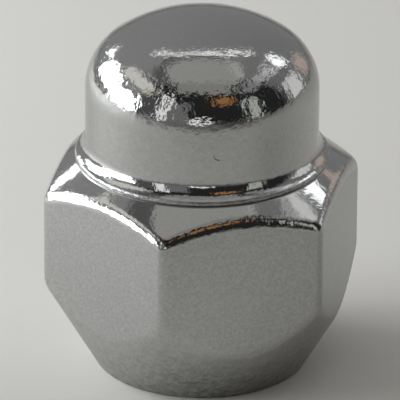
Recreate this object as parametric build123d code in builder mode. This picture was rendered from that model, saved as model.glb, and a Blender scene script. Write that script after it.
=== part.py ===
from build123d import *
import os
from math import acos, asin, cos, degrees, radians, sin, tan

# Closed-end lug nut: a domed top, a hexagon for the wrench and a conical seat for the wheel.
# It is one cold-forged, chrome-plated piece. Millimetres and degrees, with +Z up.
# The origin is the middle of the small end, which the nut stands on.

# Thread for the wheel stud, M12 x 1.5
thread_diameter = 12.0
thread_pitch = 1.5

# Blind hole: a bevelled mouth, a wall at the tapping size and a drill point
mouth_bevel = 1.05
mouth_angle = 90.0
point_angle = 118.0
crown_thickness = 2.75

# Conical seat, from the flat ring round the mouth up into the hexagon
base_ring = 0.85
base_bevel = 0.15
seat_angle = 60.0

# Hexagon, with the length of its corners between the seat and the chamfer
across_flats = 19.0
hexagon_sides = 6
hexagon_corner_radius = 0.75
corner_length = 6.5

# Chamfer on top of the hexagon: its width at the middle of a flat, and its angle from the horizontal
chamfer_width = 1.15
chamfer_angle = 34.0

# Collar at the foot of the dome: a flare out of the wall and a rounded bead, tucked in below
collar_overhang = 0.7
flare_radius = 1.05
bead_radius = 0.36
tuck_height = 0.28
tuck_depth = 0.12

# Dome: a straight wall, a rounded shoulder and a flatter crown
wall_height = 3.45
shoulder_radius = 3.85
crown_radius = 10.8

# Radii, from the hole outwards and from the flats inwards
tapping_radius = (thread_diameter - thread_pitch) / 2
mouth_radius = tapping_radius + mouth_bevel
base_radius = mouth_radius + base_ring
flat_radius = across_flats / 2
crevice_radius = flat_radius - chamfer_width
collar_radius = crevice_radius + tuck_depth
dome_radius = collar_radius - collar_overhang

# Slopes of the two cones, as rise over run, and the reach of the hexagon's rounded corners
seat_slope = 1 / tan(radians(seat_angle / 2))
chamfer_slope = tan(radians(chamfer_angle))
corner_stretch = 1 / cos(radians(180 / hexagon_sides))
corner_reach = flat_radius * corner_stretch - hexagon_corner_radius * (corner_stretch - 1)

# Turn of the flare before the bead takes over, and of the crown before the shoulder does
flare_sweep = degrees(acos(1 - collar_overhang / (flare_radius + bead_radius)))
crown_sweep = degrees(asin((dome_radius - shoulder_radius) / (crown_radius - shoulder_radius)))

# Heights, from the small end upwards
seat_corner = (corner_reach - base_radius) * seat_slope
chamfer_corner = seat_corner + corner_length
crevice_height = chamfer_corner + (corner_reach - crevice_radius) * chamfer_slope
bead_height = crevice_height + tuck_height
flare_top = bead_height + (flare_radius + bead_radius) * sin(radians(flare_sweep))
wall_top = flare_top + wall_height
crown_center = wall_top - (crown_radius - shoulder_radius) * cos(radians(crown_sweep))
overall_height = crown_center + crown_radius

# Blind hole, from its mouth up to the tip of the drill point
mouth_depth = mouth_bevel / tan(radians(mouth_angle / 2))
hole_tip = overall_height - crown_thickness
hole_shoulder = hole_tip - tapping_radius / tan(radians(point_angle / 2))

# Where the chamfer and the seat would meet, outside the hexagon that cuts them back
chamfer_apex = crevice_height + crevice_radius * chamfer_slope
cones_radius = (chamfer_apex + base_radius * seat_slope) / (chamfer_slope + seat_slope)
cones_height = (cones_radius - base_radius) * seat_slope

with BuildPart() as lug_nut:
    # Outer half section, from the top of the dome down to the small end, turned about Z
    with BuildSketch(Plane.XZ):
        with BuildLine():
            crown = CenterArc((0, crown_center), crown_radius, 90, -crown_sweep)
            shoulder = JernArc(crown @ 1, crown % 1, shoulder_radius, crown_sweep - 90)
            wall = Line(shoulder @ 1, (dome_radius, flare_top))
            flare = JernArc(wall @ 1, wall % 1, flare_radius, flare_sweep)
            bead = JernArc(flare @ 1, flare % 1, bead_radius, -flare_sweep)
            Polyline(
                bead @ 1,
                (crevice_radius, crevice_height),
                (cones_radius, cones_height),
                (base_radius + base_bevel / seat_slope, base_bevel),
                (base_radius - base_bevel, 0),
                (0, 0),
                crown @ 0,
            )
        make_face()
    revolve(axis=Axis.Z)

    # Six flats with rounded corners, which scallop the chamfer above them and the seat below
    with BuildSketch() as hexagon:
        RegularPolygon(flat_radius, hexagon_sides, major_radius=False)
        fillet(hexagon.vertices(), hexagon_corner_radius)
    extrude(amount=overall_height, mode=Mode.INTERSECT)

    # Blind hole, bored up from the small end
    with BuildSketch(Plane.XZ):
        with BuildLine():
            Polyline(
                (0, 0),
                (mouth_radius, 0),
                (tapping_radius, mouth_depth),
                (tapping_radius, hole_shoulder),
                (0, hole_tip),
                close=True,
            )
        make_face()
    revolve(axis=Axis.Z, mode=Mode.SUBTRACT)

lug_nut.part.label = "lug_nut"
os.makedirs("parts", exist_ok=True)
export_step(lug_nut.part, "parts/lug_nut.step")
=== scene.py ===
from math import acos, asin, atan2, cos, hypot, pi, radians, sin, tan

import bpy
import numpy as np
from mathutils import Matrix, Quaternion, Vector


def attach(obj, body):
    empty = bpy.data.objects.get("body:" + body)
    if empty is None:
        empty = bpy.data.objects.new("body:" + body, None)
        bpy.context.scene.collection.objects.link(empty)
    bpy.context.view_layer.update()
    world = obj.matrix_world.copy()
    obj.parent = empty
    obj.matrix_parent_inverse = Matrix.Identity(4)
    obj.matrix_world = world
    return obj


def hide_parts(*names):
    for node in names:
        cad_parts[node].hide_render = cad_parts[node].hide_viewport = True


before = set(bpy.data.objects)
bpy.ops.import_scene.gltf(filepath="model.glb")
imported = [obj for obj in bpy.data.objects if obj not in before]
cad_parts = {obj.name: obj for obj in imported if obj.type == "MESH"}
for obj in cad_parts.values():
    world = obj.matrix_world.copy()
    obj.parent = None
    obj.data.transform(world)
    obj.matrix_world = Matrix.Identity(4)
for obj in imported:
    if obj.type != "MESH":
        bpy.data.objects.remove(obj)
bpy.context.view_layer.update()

# Chrome lug nut on a pale floor. Lengths are in millimetres until a mesh, lamp or camera is made.
MM = 0.001

# The nut's sizes, as in the solid
THREAD_DIAMETER = 12.0
THREAD_PITCH = 1.5
MOUTH_BEVEL = 1.05
POINT_ANGLE = 118.0
CROWN_THICKNESS = 2.75
BASE_RING = 0.85
SEAT_ANGLE = 60.0
ACROSS_FLATS = 19.0
SIDES = 6
CORNER_RADIUS = 0.75
CORNER_LENGTH = 6.5
CHAMFER_WIDTH = 1.15
CHAMFER_ANGLE = 34.0
COLLAR_OVERHANG = 0.7
TUCK_DEPTH = 0.12
SHOULDER_RADIUS = 3.85
CROWN_RADIUS = 10.8

# Collar with a slimmer and lower bead than the solid's, and the wall longer by as much as the bead is lower
FLARE_RADIUS = 1.2
BEAD_RADIUS = 0.21
TUCK_HEIGHT = 0.2
WALL_HEIGHT = 3.53

# Fine forms that the solid leaves out: rounded edges and the thread
CHAMFER_EDGE_RADIUS = 1.1
SEAT_EDGE_RADIUS = 2.2
BASE_EDGE_RADIUS = 0.2
THREAD_LENGTH = 14.5
THREAD_FLANK = 30.0
ROOT_SHARE = 0.125

# Radii and heights that follow from the sizes
TAPPING_RADIUS = (THREAD_DIAMETER - THREAD_PITCH) / 2
MOUTH_RADIUS = TAPPING_RADIUS + MOUTH_BEVEL
BASE_RADIUS = MOUTH_RADIUS + BASE_RING
FLAT_RADIUS = ACROSS_FLATS / 2
CREVICE_RADIUS = FLAT_RADIUS - CHAMFER_WIDTH
COLLAR_RADIUS = CREVICE_RADIUS + TUCK_DEPTH
DOME_RADIUS = COLLAR_RADIUS - COLLAR_OVERHANG
SEAT_SLOPE = 1 / tan(radians(SEAT_ANGLE / 2))
CHAMFER_SLOPE = tan(radians(CHAMFER_ANGLE))
CORNER_STRETCH = 1 / cos(pi / SIDES)
CORNER_REACH = FLAT_RADIUS * CORNER_STRETCH - CORNER_RADIUS * (CORNER_STRETCH - 1)
FLARE_SWEEP = acos(1 - COLLAR_OVERHANG / (FLARE_RADIUS + BEAD_RADIUS))
TUCK_SWEEP = atan2(TUCK_HEIGHT, BEAD_RADIUS - TUCK_DEPTH)
CROWN_SWEEP = asin((DOME_RADIUS - SHOULDER_RADIUS) / (CROWN_RADIUS - SHOULDER_RADIUS))
SEAT_CORNER = (CORNER_REACH - BASE_RADIUS) * SEAT_SLOPE
CREVICE_HEIGHT = SEAT_CORNER + CORNER_LENGTH + (CORNER_REACH - CREVICE_RADIUS) * CHAMFER_SLOPE
BEAD_HEIGHT = CREVICE_HEIGHT + TUCK_HEIGHT
FLARE_TOP = BEAD_HEIGHT + (FLARE_RADIUS + BEAD_RADIUS) * sin(FLARE_SWEEP)
WALL_TOP = FLARE_TOP + WALL_HEIGHT
CROWN_CENTER = WALL_TOP - (CROWN_RADIUS - SHOULDER_RADIUS) * cos(CROWN_SWEEP)
OVERALL_HEIGHT = CROWN_CENTER + CROWN_RADIUS
HOLE_TIP = OVERALL_HEIGHT - CROWN_THICKNESS
HOLE_SHOULDER = HOLE_TIP - TAPPING_RADIUS / tan(radians(POINT_ANGLE / 2))

# Steps of the mesh along each part of the section, along a flat, round a corner and up a turn of the thread
CROWN_STEPS = 16
SHOULDER_STEPS = 34
WALL_STEPS = 8
FLARE_STEPS = 14
BEAD_STEPS = 16
CREVICE_STEPS = 4
EDGE_STEPS = 10
BASE_STEPS = 6
FLAT_STEPS = 36
CORNER_STEPS = 14
THREAD_STEPS = 15
BORE_STEPS = 3
POINT_STEPS = 8

# Finish of the plating by zone: its roughness, and how much ripple, grain, mottle and brightness it has;
# the brightness also holds painted shade at the crevice and the seat
FINISH_NAMES = ("roughness", "ripple", "grain", "mottle", "brightness")
CROWN_FINISH = (0.1, 0.38, 0.2, 0.0, 1.0)
SHOULDER_FINISH = (0.07, 0.85, 0.2, 0.0, 1.0)
WALL_FINISH = (0.14, 0.3, 0.6, 0.4, 0.98)
FLARE_FINISH = (0.1, 0.5, 0.4, 0.0, 1.0)
BEAD_FINISH = (0.34, 3.0, 1.0, 2.0, 0.8)
# Under the bead and in the crevice the colour is darkened to 0.36: painted shade in the crease
CREVICE_FINISH_AND_PAINTED_SHADE = (0.5, 0.4, 1.0, 0.5, 0.36)
CHAMFER_FINISH = (0.08, 0.25, 0.3, 0.0, 1.0)
EDGE_FINISH = (0.08, 0.9, 0.3, 0.0, 1.0)
FLAT_FINISH = (0.27, 0.25, 1.0, 0.1, 0.93)
# The seat's brightness falls from 0.96 at its upper edge to 0.72 at its base: painted shade, darker towards
# the floor
SEAT_EDGE_FINISH = (0.3, 0.8, 1.0, 0.5, 0.96)
SEAT_FINISH_AND_PAINTED_SHADE = (0.35, 4.0, 1.0, 2.5, 0.72)
BORE_FINISH = (0.45, 0.12, 0.6, 0.3, 0.6)

# Width of the painted shade on the chamfer beside the crevice, over which the crevice's dark colour fades
# out
PAINTED_SHADE_WIDTH = 0.14

# Texture of the plating: its ripples and grain, and the range of brightness that its noise gives
RIPPLE_SIZE = 0.45
RIPPLE_DEPTH = 0.05
RIPPLE_DETAIL = 3.0
GRAIN_SIZE = 0.16
GRAIN_DEPTH = 0.004
GRAIN_DETAIL = 2.0
NOISE_MIDDLE = 0.5
NOISE_SPAN = 0.25
CHROME_DARK = 0.43
CHROME_PALE = 0.57

# Tint of the plating, and of its rims, which are seen almost edge-on
CHROME_TINT = (1.0, 1.01, 0.995)
RIM_TINT = (0.85, 0.85, 0.85, 1.0)

# Small curved nick in the wall's front: its middle, its groove, and the shares of its radius where it ends
NICK_AZIMUTH = -8.0
NICK_HEIGHT = 18.03
NICK_RADIUS = 0.35
NICK_WIDTH = 0.12
NICK_DEPTH = 0.03
NICK_BRIGHTNESS = 0.62
NICK_END_SHARES = (0.4, 0.7)


def direction(azimuth, elevation):
    """Unit vector from the nut; azimuth 0 is towards -Y and 90 towards +X."""
    a, e = radians(azimuth), radians(elevation)
    return Vector((sin(a) * cos(e), -cos(a) * cos(e), sin(e)))


def arc(center, radius, start, end, count):
    """Points (r, z) on an arc, without its first one; angles from the r axis, in radians."""
    angles = np.linspace(start, end, count + 1)[1:]
    return [(center[0] + radius * cos(a), center[1] + radius * sin(a)) for a in angles]


def line(start, end, count):
    """Points (r, z) on a line, without its first one."""
    steps = np.linspace(0, 1, count + 1)[1:]
    return [(start[0] + (end[0] - start[0]) * t, start[1] + (end[1] - start[1]) * t) for t in steps]


def rounded_corner(before, corner, after, radius, count):
    """First tangent point of a rounded corner, then count points along its arc to the second."""
    corner = np.array(corner)
    back = np.array(before) - corner
    ahead = np.array(after) - corner
    back /= np.linalg.norm(back)
    ahead /= np.linalg.norm(ahead)
    half = acos(float(np.clip(back @ ahead, -1, 1))) / 2
    middle = (back + ahead) / np.linalg.norm(back + ahead)
    center = corner + middle * radius / sin(half)
    first = corner + back * radius / tan(half)
    last = corner + ahead * radius / tan(half)
    start = atan2(first[1] - center[1], first[0] - center[0])
    end = atan2(last[1] - center[1], last[0] - center[0])
    turn = (end - start + pi) % (2 * pi) - pi
    return tuple(first), arc(center, radius, start, start + turn, count)


def dome_rows():
    """Sections of the crown, shoulder, wall, flare, bead and the crevice under it."""
    center = (DOME_RADIUS - SHOULDER_RADIUS, WALL_TOP)
    flare = (DOME_RADIUS + FLARE_RADIUS, FLARE_TOP)
    bead = (COLLAR_RADIUS - BEAD_RADIUS, BEAD_HEIGHT)
    join = pi / 2 - CROWN_SWEEP
    crown = arc((0, CROWN_CENTER), CROWN_RADIUS, pi / 2, join, CROWN_STEPS)
    shoulder = arc(center, SHOULDER_RADIUS, join, 0, SHOULDER_STEPS)
    wall = line(shoulder[-1], (DOME_RADIUS, FLARE_TOP), WALL_STEPS)
    flare_rows = arc(flare, FLARE_RADIUS, pi, pi + FLARE_SWEEP, FLARE_STEPS)
    bead_rows = arc(bead, BEAD_RADIUS, FLARE_SWEEP, -TUCK_SWEEP, BEAD_STEPS)
    crevice = bead_rows[-CREVICE_STEPS:] + [(CREVICE_RADIUS, CREVICE_HEIGHT)]
    return crown, shoulder, wall, flare_rows, bead_rows[:-CREVICE_STEPS], crevice


def hexagon_rows(reach):
    """Sections from the chamfer down to the seat, where a side is at this reach from the axis."""
    crevice = (CREVICE_RADIUS, CREVICE_HEIGHT)
    upper = (reach, CREVICE_HEIGHT - (reach - CREVICE_RADIUS) * CHAMFER_SLOPE)
    lower = (reach, (reach - BASE_RADIUS) * SEAT_SLOPE)
    base = (BASE_RADIUS, 0)
    mouth = (MOUTH_RADIUS, 0)
    # The chamfer's colour fades out of the crevice's painted shade up to this point
    painted_shade_end = (CREVICE_RADIUS + PAINTED_SHADE_WIDTH, CREVICE_HEIGHT - PAINTED_SHADE_WIDTH * CHAMFER_SLOPE)
    upper_start, upper_arc = rounded_corner(crevice, upper, lower, CHAMFER_EDGE_RADIUS, EDGE_STEPS)
    lower_start, lower_arc = rounded_corner(upper, lower, base, SEAT_EDGE_RADIUS, EDGE_STEPS)
    base_start, base_arc = rounded_corner(lower, base, mouth, BASE_EDGE_RADIUS, BASE_STEPS)
    chamfer = [painted_shade_end, upper_start]
    flat = [upper_arc[-1], lower_start]
    return chamfer, upper_arc[:-1], flat, lower_arc, [base_start] + base_arc


def columns():
    """Turn and reach of each column of the mesh: even steps along each flat and round each corner."""
    tangent = (FLAT_RADIUS - CORNER_RADIUS) * tan(pi / SIDES)
    center = (FLAT_RADIUS - CORNER_RADIUS) * CORNER_STRETCH
    side = [(FLAT_RADIUS, y) for y in np.linspace(-tangent, tangent, FLAT_STEPS + 1)[:-1]]
    for a in np.linspace(0, 2 * pi / SIDES, CORNER_STEPS + 1)[:-1]:
        x = center * cos(pi / SIDES) + CORNER_RADIUS * cos(a)
        y = center * sin(pi / SIDES) + CORNER_RADIUS * sin(a)
        side.append((x, y))
    starts = [pi / SIDES + 2 * pi / SIDES * k for k in range(SIDES)]
    turns = [start + atan2(y, x) for start in starts for x, y in side]
    reaches = [hypot(x, y) for x, y in side] * SIDES
    return np.array(turns), np.array(reaches)


def thread_radius(turns, z):
    """Wall of the threaded hole at these turns and this height, with a 45 degree bevel at its mouth."""
    phase = (z / THREAD_PITCH - turns / (2 * pi)) % 1.0
    beside_root = np.maximum(np.abs(phase - 0.5) - ROOT_SHARE / 2, 0) * THREAD_PITCH
    depth = THREAD_DIAMETER / 2 - TAPPING_RADIUS - beside_root / tan(radians(THREAD_FLANK))
    fade = np.clip((THREAD_LENGTH - z) / THREAD_PITCH, 0, 1)
    return np.maximum(TAPPING_RADIUS + np.maximum(depth, 0) * fade, MOUTH_RADIUS - z)


def nut_rings():
    """Turns of the mesh's columns, and its rings as (r, z, finish), from the top down and up the hole."""
    turns, reaches = columns()
    same = np.ones(len(turns))
    rings = []
    finishes = (CROWN_FINISH, SHOULDER_FINISH, WALL_FINISH, FLARE_FINISH, BEAD_FINISH, CREVICE_FINISH_AND_PAINTED_SHADE)
    for rows, finish in zip(dome_rows(), finishes):
        rings += [(r * same, z * same, finish) for r, z in rows]
    sections = [hexagon_rows(reach) for reach in reaches]
    finishes = (CHAMFER_FINISH, EDGE_FINISH, FLAT_FINISH, SEAT_EDGE_FINISH, SEAT_FINISH_AND_PAINTED_SHADE)
    for zone, finish in enumerate(finishes):
        rows = np.array([section[zone] for section in sections])
        rings += [(rows[:, k, 0], rows[:, k, 1], finish) for k in range(rows.shape[1])]
    rings.append((MOUTH_RADIUS * same, 0 * same, BORE_FINISH))
    heights = np.linspace(0, THREAD_LENGTH, int(THREAD_LENGTH / THREAD_PITCH * THREAD_STEPS))
    rings += [(thread_radius(turns, z), z * same, BORE_FINISH) for z in heights[1:]]
    shoulder = (TAPPING_RADIUS, HOLE_SHOULDER)
    bottom = line((TAPPING_RADIUS, THREAD_LENGTH), shoulder, BORE_STEPS)
    bottom += line(shoulder, (0, HOLE_TIP), POINT_STEPS)[:-1]
    rings += [(r * same, z * same, BORE_FINISH) for r, z in bottom]
    return turns, rings


def nut_mesh():
    """Closed, smooth mesh of the nut, with the plating's finish and painted shade on its points."""
    turns, rings = nut_rings()
    points = [(0, 0, OVERALL_HEIGHT)]
    finishes = [CROWN_FINISH]
    for r, z, finish in rings:
        points += list(zip(r * np.cos(turns), r * np.sin(turns), z))
        finishes += [finish] * len(turns)
    points.append((0, 0, HOLE_TIP))
    finishes.append(BORE_FINISH)
    count = len(turns)
    last = 1 + (len(rings) - 1) * count
    faces = []
    for j in range(count):
        k = (j + 1) % count
        faces.append((0, 1 + j, 1 + k))
        for i in range(1, last, count):
            faces.append((i + j, i + count + j, i + count + k, i + k))
        faces.append((len(points) - 1, last + k, last + j))
    mesh = bpy.data.meshes.new("nut")
    mesh.from_pydata([Vector(p) * MM for p in points], [], faces)
    mesh.validate()
    mesh.polygons.foreach_set("use_smooth", [True] * len(mesh.polygons))
    for name, values in zip(FINISH_NAMES, zip(*finishes)):
        mesh.attributes.new(name, "FLOAT", "POINT").data.foreach_set("value", values)
    return mesh


def fill(owner, made, inputs):
    """Set inputs of a shader node to values, or link them to outputs of other nodes."""
    for name, value in inputs.items():
        if isinstance(value, bpy.types.NodeSocket):
            owner.node_tree.links.new(value, made.inputs[name])
        else:
            made.inputs[name].default_value = value


def node(owner, kind, inputs, **settings):
    """New shader node with these inputs and settings."""
    made = owner.node_tree.nodes.new("ShaderNode" + kind)
    for name, value in settings.items():
        setattr(made, name, value)
    fill(owner, made, inputs)
    return made


def number(owner, operation, *values):
    """Result of a Math node."""
    return node(owner, "Math", dict(enumerate(values)), operation=operation).outputs["Value"]


def dot(owner, vector, axis):
    """How far a vector goes along an axis."""
    return node(owner, "VectorMath", {0: vector, 1: axis}, operation="DOT_PRODUCT").outputs["Value"]


def slope(owner, value, start, end, low, high, kind="SMOOTHSTEP"):
    """Change from low to high while a value goes from start to end."""
    inputs = {"Value": value, "From Min": start, "From Max": end, "To Min": low, "To Max": high}
    return node(owner, "MapRange", inputs, interpolation_type=kind).outputs["Result"]


def noise(material, size, detail):
    """Noise over the nut, with blobs of this size."""
    place = node(material, "TexCoord", {}).outputs["Object"]
    inputs = {"Vector": place, "Scale": 1 / (size * MM), "Detail": detail}
    return node(material, "TexNoise", inputs).outputs["Fac"]


def mixed(material, share, texture):
    """This share of a noise, and the noise's middle value for the rest."""
    inputs = {"Factor": share, "A": NOISE_MIDDLE, "B": texture}
    return node(material, "Mix", inputs, data_type="FLOAT", clamp_factor=False).outputs["Result"]


def bump(material, height, depth, inputs, **settings):
    """Normals of bumps with this height texture and depth."""
    inputs = {"Height": height, "Distance": depth * MM, **inputs}
    return node(material, "Bump", inputs, **settings).outputs["Normal"]


def nick(material):
    """Groove of the nick: 1 along the lower left of a small circle on the wall, and 0 elsewhere."""
    up = Vector((0, 0, 1))
    middle = (direction(NICK_AZIMUTH, 0) * DOME_RADIUS + up * NICK_HEIGHT) * MM
    lower_left = (direction(NICK_AZIMUTH - 90, 0) - up).normalized()
    place = node(material, "TexCoord", {}).outputs["Object"]
    offset = node(material, "VectorMath", {0: place, 1: middle}, operation="SUBTRACT").outputs["Vector"]
    reach = node(material, "VectorMath", {0: offset}, operation="LENGTH").outputs["Value"]
    beside = number(material, "ABSOLUTE", number(material, "SUBTRACT", reach, NICK_RADIUS * MM))
    groove = slope(material, beside, 0, NICK_WIDTH / 2 * MM, 1, 0)
    start, end = (share * NICK_RADIUS * MM for share in NICK_END_SHARES)
    part = slope(material, dot(material, offset, lower_left), start, end, 0, 1)
    return number(material, "MULTIPLY", groove, part)


def chrome():
    """Material of the plating, with the finish and painted shade that each point of the mesh has."""
    material = bpy.data.materials.new("chrome")
    material.use_nodes = True
    finish = {}
    for name in FINISH_NAMES:
        finish[name] = node(material, "Attribute", {}, attribute_name=name).outputs["Fac"]
    ripple = noise(material, RIPPLE_SIZE, RIPPLE_DETAIL)
    grain = noise(material, GRAIN_SIZE, GRAIN_DETAIL)
    groove = nick(material)
    normal = bump(material, ripple, RIPPLE_DEPTH, {"Strength": finish["ripple"]})
    normal = bump(material, grain, GRAIN_DEPTH, {"Strength": finish["grain"], "Normal": normal})
    normal = bump(material, groove, NICK_DEPTH, {"Strength": groove, "Normal": normal}, invert=True)
    # Fine specks and broad blotches of darker and paler metal, all darker where a zone's brightness is
    # lower: painted shade in the crevice and towards the seat's base, bare steel in the hole
    specks = mixed(material, finish["grain"], grain)
    # The blotches follow the ripple bumps, paler on their crests and darker in their hollows: painted light
    # and shade of the bumps, strongest on the seat
    blotches = mixed(material, finish["mottle"], ripple)
    both = number(material, "ADD", specks, blotches)
    low, high = 2 * NOISE_MIDDLE - NOISE_SPAN, 2 * NOISE_MIDDLE + NOISE_SPAN
    shade = slope(material, both, low, high, CHROME_DARK, CHROME_PALE, "LINEAR")
    shade = number(material, "MULTIPLY", shade, finish["brightness"])
    shade = number(material, "MULTIPLY", shade, slope(material, groove, 0, 1, 1, NICK_BRIGHTNESS))
    scaled = node(material, "VectorMath", {0: CHROME_TINT, "Scale": shade}, operation="SCALE")
    inputs = {"Metallic": 1.0, "Roughness": finish["roughness"], "Normal": normal}
    inputs["Base Color"] = scaled.outputs["Vector"]
    inputs["Specular Tint"] = RIM_TINT
    fill(material, material.node_tree.nodes["Principled BSDF"], inputs)
    return material


nut = bpy.data.objects.new("nut", nut_mesh())
bpy.context.collection.objects.link(nut)
nut.data.materials.append(chrome())
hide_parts("lug_nut")
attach(nut, "root")


# Camera: where it stands, and the pixel at which it shows a point of the nut's axis
AZIMUTH = -16.22
ELEVATION = 24.98
ROLL = 0.33
DISTANCE = 450.0
PIXELS_PER_MM = 14.991
FRAME_PIXELS = 400
AIM_HEIGHT = 12.0
AIM_PIXEL = (201.76, 189.35)


def face(thing, out, turn):
    """Turn a camera or lamp that stands in this direction towards the nut, and then about its own axis."""
    thing.rotation_mode = "QUATERNION"
    thing.rotation_quaternion = (-out).to_track_quat("-Z", "Y") @ Quaternion((0, 0, 1), radians(turn))


def camera():
    """Camera at the photo's angle."""
    data = bpy.data.cameras.new("camera")
    made = bpy.data.objects.new("camera", data)
    bpy.context.collection.objects.link(made)
    out = direction(AZIMUTH, ELEVATION)
    right = direction(AZIMUTH + 90, 0)
    up = out.cross(right)
    aim = Vector((0, 0, AIM_HEIGHT))
    aim -= right * ((AIM_PIXEL[0] - FRAME_PIXELS / 2) / PIXELS_PER_MM)
    aim += up * ((AIM_PIXEL[1] - FRAME_PIXELS / 2) / PIXELS_PER_MM)
    made.location = (aim + out * DISTANCE) * MM
    face(made, out, ROLL)
    data.lens = PIXELS_PER_MM * DISTANCE / FRAME_PIXELS * data.sensor_width
    bpy.context.scene.camera = made


# Lamps: the height that they face, their distances from there, and their tints
LAMP_HEIGHT = 12.0
NEAR = 200.0
MIDDLE = 400.0
FAR = 500.0
WHITE = (1.0, 1.0, 1.0)
COOL = (0.94, 0.97, 1.0)
BLUISH = (0.96, 0.98, 1.0)
CREAM = (1.0, 0.98, 0.94)
YELLOWISH = (1.0, 0.97, 0.88)
GREENISH = (0.95, 1.0, 0.9)
PINK = (1.0, 0.72, 0.58)
ORANGE = (1.0, 0.45, 0.15)

# Each lamp: azimuth, elevation, width and height, in degrees as seen from the nut,
# then radiance, tint, turn about its own axis and distance
LAMPS = {
    "window_left": (-160.5, 20.5, 6, 6, 7.5, COOL, 0, MIDDLE),
    "window": (-132.5, 20, 27, 21, 10.5, COOL, 0, NEAR),
    "window_right": (-102, 11, 34, 24, 7.5, COOL, 0, FAR),
    "left_ceiling": (-105, 44.5, 44, 16, 0.6, YELLOWISH, 0, MIDDLE),
    "left_dim": (-73, 10, 20, 50, 0.08, WHITE, 0, MIDDLE),
    "left_strip": (-56, 17, 9, 54, 1.3, WHITE, 0, MIDDLE),
    "front_grey": (-40, 8, 20, 56, 0.2, WHITE, 0, MIDDLE),
    "front_glint": (-17, 0, 20, 8, 1.6, WHITE, 0, MIDDLE),
    "front_orange": (8, 40, 18, 12, 0.42, ORANGE, 0, MIDDLE),
    "right_strip": (36, 13, 12, 42, 0.6, GREENISH, 0, MIDDLE),
    "right_grey": (92, 14, 22, 26, 0.7, WHITE, 0, MIDDLE),
    "right_box": (115, 38.5, 8, 12, 2.0, BLUISH, 0, MIDDLE),
    "right_ceiling": (70, 52, 46, 13, 0.28, WHITE, 0, MIDDLE),
    "right_shelf": (99, 47.5, 11, 9, 0.4, WHITE, 0, MIDDLE),
    "right_pink": (120, 14, 16, 20, 0.4, PINK, 0, MIDDLE),
    "ceiling": (-11, 80, 44, 47, 0.33, CREAM, -5, NEAR),
    "back_line_left": (-158, 59.5, 13, 1.4, 2.2, WHITE, -73, MIDDLE),
    "back_line_middle": (164, 70, 25, 1.4, 2.8, WHITE, 0, MIDDLE),
    "back_line_right": (127.5, 58.5, 14.5, 1.4, 2.8, WHITE, 72, MIDDLE),
}


def lamp(name, azimuth, elevation, width, height, radiance, tint, turn, distance):
    """Soft box, as its line in the table says."""
    data = bpy.data.lights.new(name, "AREA")
    box = bpy.data.objects.new(name, data)
    bpy.context.collection.objects.link(box)
    out = direction(azimuth, elevation)
    data.shape = "RECTANGLE"
    data.size = 2 * distance * tan(radians(width / 2)) * MM
    data.size_y = 2 * distance * tan(radians(height / 2)) * MM
    data.energy = radiance * pi * data.size * data.size_y
    data.color = tint
    box.location = (Vector((0, 0, LAMP_HEIGHT)) + out * distance) * MM
    face(box, out, turn)


# The room is pale behind and beside the nut, more so by the window, dark in front and dimmer overhead
ROOM_LEFT = 0.36
ROOM_RIGHT = 0.21
ROOM_DARK = 0.025
ROOM_TOP_SHARE = 0.4
WINDOW_SIDE = -130.0
DARK_SIDE = -7.0
FRONT_SHARES = (0.08, 0.24)
TOP_AZIMUTH = -70.0
TOP_ELEVATION = 82.5
TOP_ANGLES = (29.0, 25.0)


def room():
    """World that the chrome reflects behind the lamps, grey by direction."""
    world = bpy.data.worlds.new("room")
    world.use_nodes = True
    ray = node(world, "TexCoord", {}).outputs["Generated"]
    side = slope(world, dot(world, ray, direction(WINDOW_SIDE, 0)), -1, 1, ROOM_RIGHT, ROOM_LEFT)
    front = slope(world, dot(world, ray, direction(DARK_SIDE, 0)), *FRONT_SHARES, side, ROOM_DARK)
    start, end = (cos(radians(angle)) for angle in TOP_ANGLES)
    overhead = dot(world, ray, direction(TOP_AZIMUTH, TOP_ELEVATION))
    top = slope(world, overhead, start, end, 1, ROOM_TOP_SHARE)
    inputs = {"Color": WHITE + (1,), "Strength": number(world, "MULTIPLY", front, top)}
    fill(world, world.node_tree.nodes["Background"], inputs)
    bpy.context.scene.world = world


# The floor is pale, a little less so in front of the nut, and grey farther out there, all painted shade
# that darkens it towards the front:
# distances in front of the nut, each with its brightness
FLOOR_PAINTED_SHADES = ((-15.0, 0.84), (15.0, 0.76), (45.0, 0.76), (100.0, 0.25))
FLOOR_TINT = (1.0, 0.985, 0.935)
FLOOR_ROUGHNESS = 0.7
FLOOR_SIZE = 4000.0
FLOOR_GAP = 0.01


def floor():
    """Floor under the nut, which isn't part of the object, with painted shade towards its front."""
    bpy.ops.mesh.primitive_plane_add(size=FLOOR_SIZE * MM, location=(0, 0, -FLOOR_GAP * MM))
    plane = bpy.context.object
    material = bpy.data.materials.new("floor")
    material.use_nodes = True
    position = node(material, "NewGeometry", {}).outputs["Position"]
    ahead = dot(material, position, direction(AZIMUTH, 0))
    start, end = FLOOR_PAINTED_SHADES[0][0], FLOOR_PAINTED_SHADES[-1][0]
    share = slope(material, ahead, start * MM, end * MM, 0, 1, "LINEAR")
    shade = node(material, "ValToRGB", {"Fac": share})
    stops = shade.color_ramp.elements
    while len(stops) < len(FLOOR_PAINTED_SHADES):
        stops.new(1.0)
    for stop, (distance, brightness) in zip(stops, FLOOR_PAINTED_SHADES):
        stop.position = (distance - start) / (end - start)
        stop.color = [brightness * c for c in FLOOR_TINT] + [1]
    inputs = {"Base Color": shade.outputs["Color"], "Roughness": FLOOR_ROUGHNESS}
    fill(material, material.node_tree.nodes["Principled BSDF"], inputs)
    plane.data.materials.append(material)


camera()
for name, values in LAMPS.items():
    lamp(name, *values)
room()
floor()
bpy.context.scene.view_settings.view_transform = "Standard"
